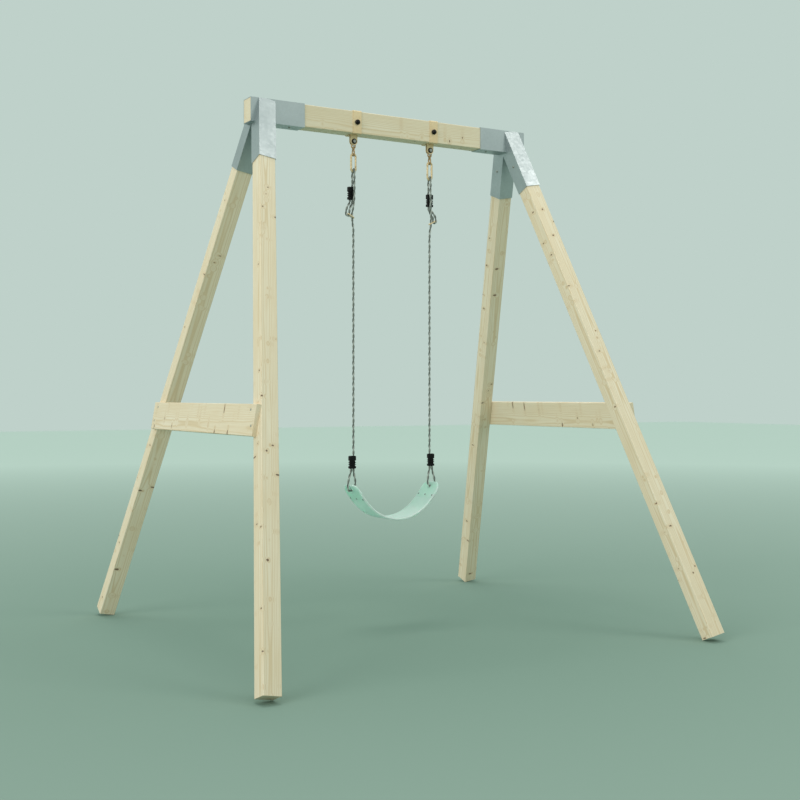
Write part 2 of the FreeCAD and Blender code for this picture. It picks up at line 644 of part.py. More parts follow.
for name, side in SIDES:
    x = side * size("hang_x")
    radius = size("hook_radius")
    top_z = size("pivot_z") - radius
    low_z = top_z - size("hook_span")
    gate_x = x - side * radius
    spine_x = x + side * radius
    top_bow = half_torus("hook_top_" + name, "dims.hook_radius", "dims.hook_wire",
                         at(x, 0, top_z, UPRIGHT_XZ))
    low_bow = half_torus("hook_low_" + name, "dims.hook_radius", "dims.hook_wire",
                         at(x, 0, low_z, Rotation(X_AXIS, -90)))
    spine = cylinder("hook_spine_" + name, "dims.hook_wire", "dims.hook_span", at(spine_x, 0, low_z))
    nose = cylinder("hook_nose_" + name, "dims.hook_wire", "dims.nose_length",
                    at(gate_x, 0, top_z), 1.0)
    heel = cylinder("hook_heel_" + name, "dims.hook_wire", "dims.heel_length", at(gate_x, 0, low_z))
    rivet_z = top_z - size("nose_length") - size("gate_gap") - size("gate_reach")
    across = along((gate_x, 0, rivet_z), Y_AXIS)
    tongue_top = cylinder("tongue_top_" + name, "dims.gate_dia", "dims.tongue_thick", across, 0.5)
    tongue_base = box("tongue_base_" + name, "dims.gate_dia", "dims.tongue_thick",
                      "%s - %s" % (rivet_z, low_z), at(gate_x, 0, low_z), z=0)
    hook = fuse("hook_blank_" + name, [top_bow, low_bow, spine, nose, heel, tongue_top, tongue_base])
    hook_hole = cylinder("hook_hole_" + name, "dims.rivet_dia", "dims.hook_wire * 2", across, 0.5)
    keep(cut("hook_solid_" + name, hook, hook_hole), "carabiner_" + name)
    rivet = cylinder("rivet_solid_" + name, "dims.rivet_dia", "dims.gate_dia", across, 0.5)
    keep(rivet, "gate_rivet_" + name)

    bar = cylinder("gate_bar_" + name, "dims.gate_dia", "dims.gate_reach", at(gate_x, 0, rivet_z))
    knuckle = cylinder("gate_knuckle_" + name, "dims.knuckle_dia", "dims.knuckle_dia", across, 0.5)
    slot = box("gate_slot_" + name, "dims.gate_dia + 2", "dims.fork_slot", "dims.fork_depth",
               at(gate_x, 0, rivet_z), z=-0.5)
    gate_hole = cylinder("gate_hole_" + name, "dims.rivet_hole", "dims.gate_dia * 2", across, 0.5)
    blank = fuse("gate_blank_" + name, [bar, knuckle])
    keep(cut("gate_solid_" + name, blank, fuse("gate_tools_" + name, [slot, gate_hole])),
         "carabiner_gate_" + name)


# ---------------------------------------------------------------- ropes

def rope_path(points, radii):
    """Straight runs joined by tangent arcs; a radius of None is as large as its runs allow."""
    spots = [Vector(*point) for point in points]
    edges = []
    used = []
    start = spots[0]
    for i in range(1, len(spots) - 1):
        back = spots[i - 1] - spots[i]
        ahead = spots[i + 1] - spots[i]
        turn = math.pi - back.getAngle(ahead)
        shorter = min(back.Length, ahead.Length)
        radius = radii.get(i) or 0.45 * shorter / math.tan(turn / 2)
        cut_back = radius * math.tan(turn / 2)
        back.normalize()
        ahead.normalize()
        arc_start = spots[i] + back * cut_back
        arc_end = spots[i] + ahead * cut_back
        to_centre = (back + ahead).normalize()
        middle = spots[i] + to_centre * (radius / math.cos(turn / 2) - radius)
        if (arc_start - start).Length > 1e-3:
            edges.append(Part.LineSegment(start, arc_start).toShape())
        edges.append(Part.Arc(arc_start, middle, arc_end).toShape())
        used.append(radius)
        start = arc_end
    edges.append(Part.LineSegment(start, spots[-1]).toShape())
    return Part.Wire(edges), used


def rope(label, points, radii):
    """A round tube of the rope's diameter along its path."""
    wire, used = rope_path(points, radii)
    path = doc.addObject("Part::Feature", label + "_path")
    path.Shape = wire
    ring = doc.addObject("Part::Circle", label + "_section")
    bind(ring, Radius="dims.rope_dia / 2")
    ring.Placement = along(points[0], Vector(*points[1]) - Vector(*points[0]))
    tube = doc.addObject("Part::Sweep", label + "_tube")
    tube.Sections = [ring]
    tube.Spine = (path, ["Edge%d" % (i + 1) for i in range(len(wire.Edges))])
    tube.Solid = True
    tube.Frenet = False
    doc.recompute()
    section = math.pi * (size("rope_dia") / 2) ** 2
    ratio = tube.Shape.Volume / (section * wire.Length)
    print("%-22s length %7.1f  volume/section %.4f  radii %s"
          % (label, wire.Length, ratio, " ".join("%.1f" % radius for radius in used)))
    return keep(tube, label)


bow_z = size("pivot_z") - 2 * size("hook_radius") - size("hook_span")
bend = size("hook_wire") / 2 + size("rope_dia") / 2 + size("rope_play")
crown_z = bow_z + bend
upper_top = size("clamp_top_z")
upper_low = upper_top - size("clamp_height")
lower_top = size("clamp_low_z")
lower_low = lower_top - size("clamp_height")
line_x = size("hang_x")
tail_x = line_x + 2 * size("clamp_shift")
behind = bend + size("tail_play")

for name, side in SIDES:
    main = [
        (line_x, 0, lower_top), (line_x, 0, 1746), (197.6, 0, 1772), (201.9, -0.3, 1796),
        (200.9, -1.8, 1822), (196.2, -7.4, 1852), (line_x, -bend, 1888), (line_x, -bend, crown_z),
        (line_x, bend, crown_z), (line_x, behind, 1966), (line_x, behind, upper_top)]
    main = [(side * px, py, pz) for px, py, pz in main]
    rope("rope_main_" + name, main, {7: bend - 0.05, 8: bend - 0.05})
    loop = [
        (line_x, behind, upper_low), (line_x, behind, 1863), (203.6, 7.8, 1847),
        (212.9, 2.6, 1831), (213.1, 0, 1804.8), (229.1, 0, 1804.8), (228.7, 2.0, 1827),
        (220.6, 6.6, 1847), (tail_x, behind, 1862), (tail_x, behind, upper_low)]
    loop = [(side * px, py, pz) for px, py, pz in loop]
    rope("rope_end_loop_" + name, loop, {4: 7.8, 5: 7.8})

# ---------------------------------------------------------------- belt seat

mid_radius = size("seat_mid_radius")
mid_angle = math.radians(size("seat_mid_angle"))
end_radius = size("seat_end_radius")
hole_angle = math.radians(size("seat_hole_angle"))
hole_s = mid_radius * mid_angle + end_radius * (hole_angle - mid_angle)
tip_s = hole_s + size("seat_tip")


def belt_point(s, offset=0.0):
    """Point on the belt at a length s from its middle, offset outward, with the slope there."""
    run = abs(s)
    if run <= mid_radius * mid_angle:
        slope = run / mid_radius
        x = mid_radius * math.sin(slope)
        z = size("seat_low_z") + mid_radius * (1 - math.cos(slope))
    else:
        slope = mid_angle + (run - mid_radius * mid_angle) / end_radius
        x = mid_radius * math.sin(mid_angle) + end_radius * (math.sin(slope) - math.sin(mid_angle))
        z = size("seat_low_z") + mid_radius * (1 - math.cos(mid_angle))
        z += end_radius * (math.cos(mid_angle) - math.cos(slope))
    sign = 1 if s >= 0 else -1
    x += offset * math.sin(slope)
    z -= offset * math.cos(slope)
    return Vector(sign * x, 0, z), slope


def belt_arc(s_from, s_to, offset):
    ends = [belt_point(s, offset)[0] for s in (s_from, (s_from + s_to) / 2, s_to)]
    return Part.Arc(*ends).toShape()


def belt_normal(side, slope):
    """Outward, downward normal of the belt on one side of its middle."""
    return Vector(side * math.sin(slope), 0, -math.cos(slope))


def seat_rivet(side, y):
    centre, slope = belt_point(side * (hole_s - size("rivet_back")))
    normal = belt_normal(side, slope)
    centre.y = y
    half = size("seat_thick") / 2
    rise = size("seat_rivet_rise")
    solid = Part.makeCylinder(size("seat_rivet_shank") / 2, 2 * half, centre - normal * half, normal)
    for way in (-1, 1):
        face = centre + normal * (way * half)
        head = Part.makeCone(size("seat_rivet_head") / 2, size("seat_rivet_head") / 2 - 1, rise,
                             face, normal * way)
        solid = solid.fuse(head)
    return solid.removeSplitter()


half_thick = size("seat_thick") / 2
breaks = [-tip_s, -mid_radius * mid_angle, mid_radius * mid_angle, tip_s]
outline = []
for offset in (half_thick, -half_thick):
    for i in range(3):
        outline.append(belt_arc(breaks[i], breaks[i + 1], offset))
for s in (-tip_s, tip_s):
    edge = Part.LineSegment(belt_point(s, half_thick)[0], belt_point(s, -half_thick)[0])
    outline.append(edge.toShape())
profile = Part.Face(Part.Wire(Part.__sortEdges__(outline)))
profile.translate(Vector(0, -size("seat_width") / 2, 0))
belt = profile.extrude(Vector(0, size("seat_width"), 0))
corners = []
for edge in belt.Edges:
    ends_inside = abs(edge.Length - size("seat_thick")) < 1e-3
    if ends_inside and abs(abs(edge.CenterOfMass.y) - size("seat_width") / 2) < 1e-3:
        corners.append(edge)
if len(corners) != 4:
    raise RuntimeError("the belt has %d corner edges" % len(corners))
belt = belt.makeFillet(size("seat_round"), corners)
for name, side in SIDES:
    centre, slope = belt_point(side * hole_s)
    normal = belt_normal(side, slope)
    belt = belt.cut(Part.makeCylinder(size("seat_hole") / 2, 60, centre - normal * 30, normal))
    rivets = []
    for y in (-size("seat_rivet_y"), 0, size("seat_rivet_y")):
        rivet = seat_rivet(side, y)
        rivets.append(rivet)
        belt = belt.cut(rivet)
    rivet_set = doc.addObject("Part::Feature", "seat_rivet_set_" + name)
    rivet_set.Shape = Part.makeCompound(rivets)
    rivet_set.Placement = Placement()
    keep(rivet_set, "seat_rivets_" + name)
seat = doc.addObject("Part::Feature", "belt_seat")
seat.Shape = belt
seat.Placement = Placement()
keep(seat, "seat")
print("belt flat size %.1f x %.1f x %.1f" % (2 * tip_s, size("seat_width"), size("seat_thick")))

hole_centre = belt_point(hole_s)[0]
print("seat hole centre x %.2f z %.2f" % (hole_centre.x, hole_centre.z))
for name, side in SIDES:
    normal = belt_normal(1, hole_angle)
    outside_far = hole_centre + normal * 12.2
    inside_far = hole_centre - normal * 14.0
    lace = [
        (tail_x, 0, lower_low), (tail_x, 0, 695), (213.6, 0, 672), (220.6, 0, 648),
        (221.8, 0, 616), (outside_far.x, 0, outside_far.z), (inside_far.x, 0, inside_far.z),
        (183.8, 0, 645), (188.0, 0, 671), (line_x, 0, 695), (line_x, 0, lower_low)]
    lace = [(side * px, py, pz) for px, py, pz in lace]
    rope("rope_seat_loop_" + name, lace, {6: 10.0})


# ---------------------------------------------------------------- clamps and adjuster rings

def clamp_slice(name, width, depth, height, frame):
    """A slab of the clamp with round ends, its bottom on the frame's XY plane."""
    flat = box(name + "_flat", "(%s) - (%s)" % (width, depth), depth, height, frame, z=0)
    end_step = (flat.Length.Value) / 2
    ends = []
    for way in (-1, 1):
        ends.append(cylinder("%s_end_%d" % (name, way + 1), depth, height,
                             frame.multiply(at(way * end_step, 0, 0))))
    return fuse(name, [flat] + ends)


def clamp(name, x, y, top_z):
    """A pressed clamp on two rope strands: head, waist with thin ribs, foot flange."""
    low = top_z - size("clamp_height")
    waist_w = "dims.clamp_width - dims.clamp_waist"
    waist_d = "dims.clamp_depth - dims.clamp_waist"
    slices = [
        clamp_slice(name + "_waist", waist_w, waist_d, "dims.clamp_height", at(x, y, low)),
        clamp_slice(name + "_head", "dims.clamp_width", "dims.clamp_depth", "dims.clamp_head",
                    at(x, y, top_z - size("clamp_head") - size("clamp_step"))),
        clamp_slice(name + "_foot", "dims.clamp_width", "dims.clamp_depth", "dims.clamp_foot",
                    at(x, y, low + size("clamp_step")))]
    free = size("clamp_height") - size("clamp_head") - size("clamp_foot") - 2 * size("clamp_step")
    for i in (1, 2):
        level = low + size("clamp_step") + size("clamp_foot") + free * i / 3 - size("clamp_rib") / 2
        slices.append(clamp_slice("%s_rib_%d" % (name, i), "dims.clamp_width - dims.rib_inset",
                                  "dims.clamp_depth - dims.rib_inset", "dims.clamp_rib",
                                  at(x, y, level)))
    return fuse(name, slices)


for name, side in SIDES:
    clamp_x = side * (line_x + size("clamp_shift"))
    keep(clamp("upper_clamp_solid_" + name, clamp_x, behind, upper_top), "upper_clamp_" + name)
    keep(clamp("lower_clamp_solid_" + name, clamp_x, 0, lower_top), "lower_clamp_" + name)
    lay = Rotation(Y_AXIS, -side * size("ring_tilt")).multiply(Rotation(Z_AXIS, 90))
    ring_frame = at(side * size("ring_x"), 0, size("ring_z"), lay)
    keep(fuse("ring_solid_" + name, oval_ring("ring_" + name, "dims.ring_radius", "dims.ring_wire",
                                              "dims.ring_span", ring_frame)),
         "rope_adjuster_" + name)

# ---------------------------------------------------------------- checks and export

doc.recompute()
for obj in doc.Objects:
    if "Invalid" in obj.State or "Error" in obj.State:
        raise RuntimeError("%s did not recompute: %s" % (obj.Label, obj.State))
labels = [obj.Label for obj in NODES]
if len(labels) != len(set(labels)):
    raise RuntimeError("two pieces share a name")
for obj in NODES:
    if obj.Shape.isNull() or not obj.Shape.isValid() or not obj.Shape.Solids:
        raise RuntimeError("%s has no valid solid" % obj.Label)
for obj in NODES:
    obj.Shape.exportStep("parts/%s.step" % obj.Label)
print("%d pieces written" % len(NODES))
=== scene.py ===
import math

import bmesh
import bpy
from mathutils import Matrix, Vector


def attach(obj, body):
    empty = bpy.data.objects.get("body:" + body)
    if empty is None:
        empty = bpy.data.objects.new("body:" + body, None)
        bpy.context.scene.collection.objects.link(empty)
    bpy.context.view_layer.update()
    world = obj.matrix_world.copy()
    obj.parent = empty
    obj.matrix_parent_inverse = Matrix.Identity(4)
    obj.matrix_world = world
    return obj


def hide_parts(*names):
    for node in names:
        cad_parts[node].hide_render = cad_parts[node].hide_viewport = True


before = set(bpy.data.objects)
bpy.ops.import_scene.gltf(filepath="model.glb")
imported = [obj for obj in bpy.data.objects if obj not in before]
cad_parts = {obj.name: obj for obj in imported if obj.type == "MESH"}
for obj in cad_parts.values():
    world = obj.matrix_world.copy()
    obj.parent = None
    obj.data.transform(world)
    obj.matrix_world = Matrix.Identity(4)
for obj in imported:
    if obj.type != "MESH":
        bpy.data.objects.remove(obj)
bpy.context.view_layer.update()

SIDES = (("left", -1), ("right", 1))
SIDE_LEAN = math.radians(10)
LEG_ANGLE = math.radians(22.5)
ROPE_X = 0.194
SEAT_HALF_WIDTH = 0.070


def linear(r, g, b):
    """sRGB 0..255 to a linear colour."""
    return tuple(((c / 255) / 12.92 if c <= 10 else ((c / 255 + 0.055) / 1.055) ** 2.4)
                 for c in (r, g, b)) + (1.0,)


# ------------------------------------------------------------------ camera, light and floor

CAMERA_PLACE = (-2.6279, -4.6029, 1.0278)
CAMERA_YAW, CAMERA_PITCH = math.radians(30.10), math.radians(-0.236)
LENS, SENSOR = 53.83, 36
FLOOR_SIZE = 60
FLOOR_DROP = 0.0005
FADE_REACH = 14.0
WARM = (1.0, 0.96, 0.93)


def make_camera():
    data = bpy.data.cameras.new("camera")
    data.lens = LENS
    data.sensor_width = SENSOR
    camera = bpy.data.objects.new("camera", data)
    bpy.context.collection.objects.link(camera)
    camera.location = CAMERA_PLACE
    camera.rotation_euler = (math.radians(90) + CAMERA_PITCH, 0, -CAMERA_YAW)
    bpy.context.scene.camera = camera


def area_light(name, place, aim, size, power, colour):
    data = bpy.data.lights.new(name, "AREA")
    data.shape = "DISK"
    data.size = size
    data.energy = power
    data.color = colour
    light = bpy.data.objects.new(name, data)
    light.location = place
    light.rotation_euler = (Vector(aim) - Vector(place)).to_track_quat("-Z", "Y").to_euler()
    bpy.context.collection.objects.link(light)


def sun_light(name, direction, strength, spread):
    """An even light from the given direction, as soft as its spread in degrees."""
    data = bpy.data.lights.new(name, "SUN")
    data.energy = strength
    data.angle = math.radians(spread)
    data.color = WARM
    light = bpy.data.objects.new(name, data)
    light.rotation_euler = Vector(direction).to_track_quat("Z", "Y").to_euler()
    bpy.context.collection.objects.link(light)


def make_stage():
    bpy.ops.mesh.primitive_plane_add(size=FLOOR_SIZE, location=(0, 0, -FLOOR_DROP))
    floor = bpy.context.object
    floor.name = "floor"
    mat, tree, shader = new_material("floor")
    n = Nodes(tree)
    place = n.add("ShaderNodeTexCoord").outputs["Object"]
    away = n.add("ShaderNodeVectorMath", {0: place}, operation="LENGTH").outputs["Value"]
    # Painted light: the floor's colour runs from darker near the frame to paler far off, so that it
    # fades into the backdrop at the horizon.
    near, far = linear(126, 149, 138), linear(207, 223, 215)
    painted_horizon_light = n.grey_ramp(n.math("DIVIDE", away, FADE_REACH), [(0.06, 0.0), (0.95, 1.0)])
    n.link(n.mix(painted_horizon_light, near, far), shader, "Base Color")
    shader.inputs["Roughness"].default_value = 0.50
    shader.inputs["Specular IOR Level"].default_value = 0.0
    floor.data.materials.append(mat)
    world = bpy.data.worlds.new("studio")
    bpy.context.scene.world = world
    world.use_nodes = True
    backdrop = world.node_tree.nodes["Background"]
    backdrop.inputs["Color"].default_value = linear(191, 209, 202)
    backdrop.inputs["Strength"].default_value = 1.0
    sun_light("key", (-12.0, -3.5, 4.0), 1.30, 40)
    area_light("fill", (3.6, -4.6, 6.5), (0, 0, 1.2), 3.5, 100, (1.0, 0.95, 0.91))
    area_light("top", (-0.5, 0.5, 7.0), (0, 0, 1.5), 3.0, 110, (1.0, 0.96, 0.92))
    sun_light("back", (5.5, 8.0, 9.0), 0.45, 60)
    bpy.context.scene.view_settings.view_transform = "Standard"


# ------------------------------------------------------------------ materials

def new_material(name):
    mat = bpy.data.materials.new(name)
    mat.use_nodes = True
    tree = mat.node_tree
    return mat, tree, tree.nodes["Principled BSDF"]


class Nodes:
    """Short names for the nodes a material is made of."""

    def __init__(self, tree):
        self.tree = tree

    def add(self, kind, values=None, **settings):
        node = self.tree.nodes.new(kind)
        for key, value in settings.items():
            setattr(node, key, value)
        for key, value in (values or {}).items():
            if isinstance(value, bpy.types.NodeSocket):
                self.tree.links.new(value, node.inputs[key])
            else:
                node.inputs[key].default_value = value
        return node

    def math(self, operation, a, b=0.0):
        return self.add("ShaderNodeMath", {0: a, 1: b}, operation=operation).outputs[0]

    def ramp(self, value, stops):
        node = self.add("ShaderNodeValToRGB", {"Fac": value})
        elements = node.color_ramp.elements
        while len(elements) < len(stops):
            elements.new(0.5)
        for element, (place, colour) in zip(elements, stops):
            element.position = place
            element.color = colour
        return node.outputs["Color"]

    def grey_ramp(self, value, stops):
        return self.ramp(value, [(place, (g, g, g, 1.0)) for place, g in stops])

    def mix(self, factor, a, b):
        node = self.tree.nodes.new("ShaderNodeMix")
        node.data_type = "RGBA"
        # A mix node has one set of sockets for each kind of data; these are the colour's.
        for place, value in ((0, factor), (6, a), (7, b)):
            if isinstance(value, bpy.types.NodeSocket):
                self.tree.links.new(value, node.inputs[place])
            else:
                node.inputs[place].default_value = value
        return node.outputs[2]

    def noise(self, vector, scale, detail=3.0, roughness=0.5):
        node = self.add("ShaderNodeTexNoise", {"Vector": vector, "Scale": scale, "Detail": detail,
                                               "Roughness": roughness})
        return node.outputs["Fac"]

    def bump(self, height, strength, distance, shader):
        node = self.add("ShaderNodeBump", {"Height": height, "Strength": strength, "Distance": distance})
        self.link(node.outputs["Normal"], shader, "Normal")

    def link(self, output, shader, name):
        self.tree.links.new(output, shader.inputs[name])


KNOT_SPACING = 0.036
KNOT_ROUND = 0.62
RING_SPACING = 0.0046
SWAY = 0.020


def wood(name, origin, along, across, pith, seed):
    """Knotty planed softwood; along and across are the plank's own directions in the frame."""
    mat, tree, shader = new_material(name)
    n = Nodes(tree)
    x = Vector(along).normalized()
    y = Vector(across).normalized()
    z = x.cross(y)
    turn = Matrix((x, y, z))
    shift = -(turn @ Vector(origin))
    place = n.add("ShaderNodeTexCoord").outputs["Object"]
    local = n.add("ShaderNodeMapping", {"Vector": place, "Location": shift,
                                        "Rotation": turn.to_euler("XYZ")}).outputs["Vector"]
    parts = n.add("ShaderNodeSeparateXYZ", {"Vector": local}).outputs
    lx, ly, lz = parts["X"], parts["Y"], parts["Z"]

    # The pith wanders slowly along the plank, and the year rings go round it.
    slow = n.add("ShaderNodeCombineXYZ", {
        "X": n.math("MULTIPLY", lx, 1.6),
        "Y": n.math("MULTIPLY", ly, 5.0),
        "Z": n.math("ADD", n.math("MULTIPLY", lz, 5.0), seed)}).outputs[0]
    sway = n.add("ShaderNodeTexNoise", {"Vector": slow, "Scale": 1.0, "Detail": 2.0})
    sway_y, sway_z = n.add("ShaderNodeSeparateColor", {"Color": sway.outputs["Color"]}).outputs[:2]
    off_y = n.math("SUBTRACT", n.math("ADD", ly, n.math("MULTIPLY", sway_y, SWAY)), pith[0] + SWAY / 2)
    off_z = n.math("SUBTRACT", n.math("ADD", lz, n.math("MULTIPLY", sway_z, SWAY)), pith[1] + SWAY / 2)
    radius = n.math("SQRT", n.math("ADD", n.math("MULTIPLY", off_y, off_y),
                                   n.math("MULTIPLY", off_z, off_z)))

    # Knots run outwards from the pith, so they are placed by height and by angle round it.
    angle = n.math("ARCTAN2", off_z, off_y)
    around = n.add("ShaderNodeCombineXYZ", {
        "X": n.math("ADD", n.math("DIVIDE", lx, KNOT_SPACING), seed * 3.7),
        "Y": n.math("MULTIPLY", n.math("COSINE", angle), KNOT_ROUND),
        "Z": n.math("MULTIPLY", n.math("SINE", angle), KNOT_ROUND)}).outputs[0]
    wobble = n.add("ShaderNodeTexNoise", {"Vector": local, "Scale": 160.0, "Detail": 2.0})
    jitter = n.add("ShaderNodeVectorMath", {0: wobble.outputs["Color"], 1: (0.10, 0.10, 0.10)},
                   operation="MULTIPLY").outputs[0]
    around = n.add("ShaderNodeVectorMath", {0: around, 1: jitter}, operation="ADD").outputs[0]
    cells = n.add("ShaderNodeTexVoronoi", {"Vector": around, "Scale": 1.0})
    reach = cells.outputs["Distance"]
    lot = n.add("ShaderNodeSeparateColor", {"Color": cells.outputs["Color"]}).outputs
    chosen = n.math("GREATER_THAN", lot[0], 0.40)
    size = n.math("ADD", n.math("MULTIPLY", lot[1], 0.10), 0.055)
    scaled = n.math("DIVIDE", reach, size)
    knot = n.math("MULTIPLY", n.grey_ramp(scaled, [(0.0, 1.0), (0.62, 0.92), (1.0, 0.0)]), chosen)
    edge = n.math("MULTIPLY", n.grey_ramp(scaled, [(0.35, 0.0), (0.72, 1.0), (1.0, 0.0)]), chosen)
    near = n.math("DIVIDE", reach, 0.42)
    halo = n.math("MULTIPLY", n.grey_ramp(near, [(0.0, 1.0), (1.0, 0.0)]), chosen)

    # The rings bend round each knot.
    bent = n.math("SUBTRACT", radius, n.math("MULTIPLY", halo, 0.0055))
    fine = n.add("ShaderNodeCombineXYZ", {
        "X": n.math("MULTIPLY", lx, 7.0),
        "Y": n.math("MULTIPLY", ly, 260.0),
        "Z": n.math("MULTIPLY", lz, 260.0)}).outputs[0]
    fibre = n.noise(fine, 1.0, 4.0, 0.6)
    wave = n.math("SINE", n.math("MULTIPLY", bent, 2 * math.pi / RING_SPACING))
    rings = n.math("ADD", n.math("MULTIPLY", wave, 0.5), 0.5)
    rings = n.math("POWER", rings, 2.6)
    colour = n.ramp(rings, [(0.0, linear(238, 224, 200)), (0.55, linear(234, 217, 190)),
                            (1.0, linear(221, 198, 163))])
    tone = n.noise(slow, 2.3, 2.0)
    colour = n.mix(n.grey_ramp(tone, [(0.35, 0.0), (0.7, 0.50)]), colour, linear(230, 208, 174))
    colour = n.mix(n.grey_ramp(fibre, [(0.45, 0.0), (0.72, 0.30)]), colour, linear(208, 182, 144))
    colour = n.mix(n.math("MULTIPLY", halo, 0.35), colour, linear(206, 170, 124))
    colour = n.mix(n.math("MULTIPLY", knot, 0.90), colour, linear(118, 76, 50))
    colour = n.mix(n.math("MULTIPLY", edge, 0.80), colour, linear(66, 42, 30))
    n.link(colour, shader, "Base Color")
    n.link(n.grey_ramp(fibre, [(0.3, 0.50), (0.8, 0.66)]), shader, "Roughness")
    height = n.math("ADD", n.math("MULTIPLY", rings, 0.5), n.math("MULTIPLY", fibre, 0.9))
    height = n.math("SUBTRACT", height, n.math("MULTIPLY", edge, 0.9))
    n.bump(height, 0.35, 0.0006, shader)
    shader.inputs["Specular IOR Level"].default_value = 0.35
    return mat


def metal(name, base, dark, metallic, roughness, cell, cell_depth, specks=0.0):
    """Zinc-coated steel: crystals of the coating, soft streaks, a fine grain in the gloss."""
    mat, tree, shader = new_material(name)
    n = Nodes(tree)
    place = n.add("ShaderNodeTexCoord").outputs["Object"]
    warped = n.add("ShaderNodeTexNoise", {"Vector": place, "Scale": 60.0, "Detail": 2.0})
    jig = n.add("ShaderNodeVectorMath", {0: warped.outputs["Color"], 1: (0.006, 0.006, 0.006)},
                operation="MULTIPLY").outputs[0]
    moved = n.add("ShaderNodeVectorMath", {0: place, 1: jig}, operation="ADD").outputs[0]
    cells = n.add("ShaderNodeTexVoronoi", {"Vector": moved, "Scale": 1.0 / cell})
    crystal = n.add("ShaderNodeSeparateColor", {"Color": cells.outputs["Color"]}).outputs[0]
    cloud = n.noise(place, 9.0, 4.0, 0.6)
    grain = n.noise(place, 900.0, 2.0)
    colour = n.mix(n.grey_ramp(cloud, [(0.3, 0.0), (0.75, 0.6)]), base, dark)
    colour = n.mix(n.math("MULTIPLY", crystal, cell_depth), colour, dark)
    if specks:
        spot = n.grey_ramp(n.noise(place, 220.0, 3.0, 0.7), [(0.66, 0.0), (0.74, specks)])
        colour = n.mix(spot, colour, dark)
    n.link(colour, shader, "Base Color")
    rough = n.math("ADD", n.math("MULTIPLY", crystal, 0.10), roughness - 0.05)
    rough = n.math("ADD", rough, n.math("MULTIPLY", n.math("SUBTRACT", cloud, 0.5), 0.16))
    n.link(rough, shader, "Roughness")
    shader.inputs["Metallic"].default_value = metallic
    height = n.math("ADD", n.math("MULTIPLY", grain, 0.5), n.math("MULTIPLY", crystal, 0.25))
    n.bump(height, 0.18, 0.0002, shader)
    return mat


def plastic(name, colour, light, roughness, grain_scale, strength):
    mat, tree, shader = new_material(name)
    n = Nodes(tree)
    place = n.add("ShaderNodeTexCoord").outputs["Object"]
    cloud = n.noise(place, 35.0, 3.0)
    grain = n.noise(place, grain_scale, 3.0)
    n.link(n.mix(n.grey_ramp(cloud, [(0.35, 0.0), (0.75, 0.7)]), colour, light), shader, "Base Color")
    n.link(n.grey_ramp(grain, [(0.3, roughness - 0.06), (0.7, roughness + 0.08)]), shader, "Roughness")
    shader.inputs["Specular IOR Level"].default_value = 0.22
    n.bump(grain, strength, 0.0002, shader)
    return mat


def rope_material(name, low, high):
    mat, tree, shader = new_material(name)
    n = Nodes(tree)
    place = n.add("ShaderNodeTexCoord").outputs["Object"]
    yarn = n.noise(place, 620.0, 3.0, 0.6)
    cloud = n.noise(place, 40.0, 2.0)
    colour = n.mix(n.grey_ramp(yarn, [(0.30, 0.0), (0.72, 0.9)]), low, high)
    colour = n.mix(n.grey_ramp(cloud, [(0.4, 0.0), (0.8, 0.35)]), colour, low)
    n.link(colour, shader, "Base Color")
    n.link(n.grey_ramp(yarn, [(0.3, 0.55), (0.8, 0.75)]), shader, "Roughness")
    shader.inputs["Sheen Weight"].default_value = 0.15
    n.bump(yarn, 0.5, 0.0005, shader)
    return mat


def seat_material():
    mat, tree, shader = new_material("seat_plastic")
    n = Nodes(tree)
    place = n.add("ShaderNodeTexCoord").outputs["Object"]
    cloud = n.noise(place, 14.0, 3.0)
    grain = n.noise(place, 420.0, 3.0)
    colour = n.mix(n.grey_ramp(cloud, [(0.3, 0.0), (0.75, 0.6)]),
                   linear(190, 229, 212), linear(174, 220, 200))
    # Painted highlight: the rounded rim along both sides is painted paler than the web, standing in for
    # the light that the bead catches.
    across = n.math("ABSOLUTE", n.add("ShaderNodeSeparateXYZ", {"Vector": place}).outputs["Y"])
    rim = n.grey_ramp(n.math("DIVIDE", across, SEAT_HALF_WIDTH), [(0.90, 0.0), (0.97, 0.75)])
    colour = n.mix(rim, colour, linear(226, 247, 239))
    n.link(colour, shader, "Base Color")
    n.link(n.grey_ramp(grain, [(0.3, 0.34), (0.7, 0.44)]), shader, "Roughness")
    shader.inputs["Subsurface Weight"].default_value = 0.90
    shader.inputs["Subsurface Radius"].default_value = (0.03, 0.04, 0.035)
    shader.inputs["Subsurface Scale"].default_value = 1.0
    shader.inputs["Transmission Weight"].default_value = 0.22
    shader.inputs["Coat Weight"].default_value = 0.15
    shader.inputs["Coat Roughness"].default_value = 0.30
    shader.inputs["IOR"].default_value = 1.45
    n.bump(grain, 0.10, 0.0002, shader)
    return mat


def paint(mat, *nodes):
    for node in nodes:
        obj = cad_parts[node]
        if not obj.material_slots:
            obj.data.materials.append(mat)
        for slot in obj.material_slots:
            slot.material = mat


# ------------------------------------------------------------------ ropes

LINE_STEP = 0.0022
ROPE_STRANDS = 2
ROPE_LAY = {"pitch": 0.046, "helix": 0.00240, "radius": 0.00262, "yarns": 6, "ring": 20}


def route(name, points):
    """The points down one smooth NURBS line whose control points are given in metres."""
    data = bpy.data.curves.new(name, "CURVE")
    data.dimensions = "3D"
    spline = data.splines.new("NURBS")
    spline.points.add(len(points) - 1)
    for point, place in zip(spline.points, points):
        point.co = (*place, 1.0)
    spline.order_u = 3
    spline.use_endpoint_u = True
    spline.resolution_u = 40
    holder = bpy.data.objects.new(name, data)
    mesh = bpy.data.meshes.new_from_object(holder)
    line = [v.co.copy() for v in mesh.vertices]
    bpy.data.meshes.remove(mesh)
    bpy.data.objects.remove(holder)
    bpy.data.curves.remove(data)
    return line


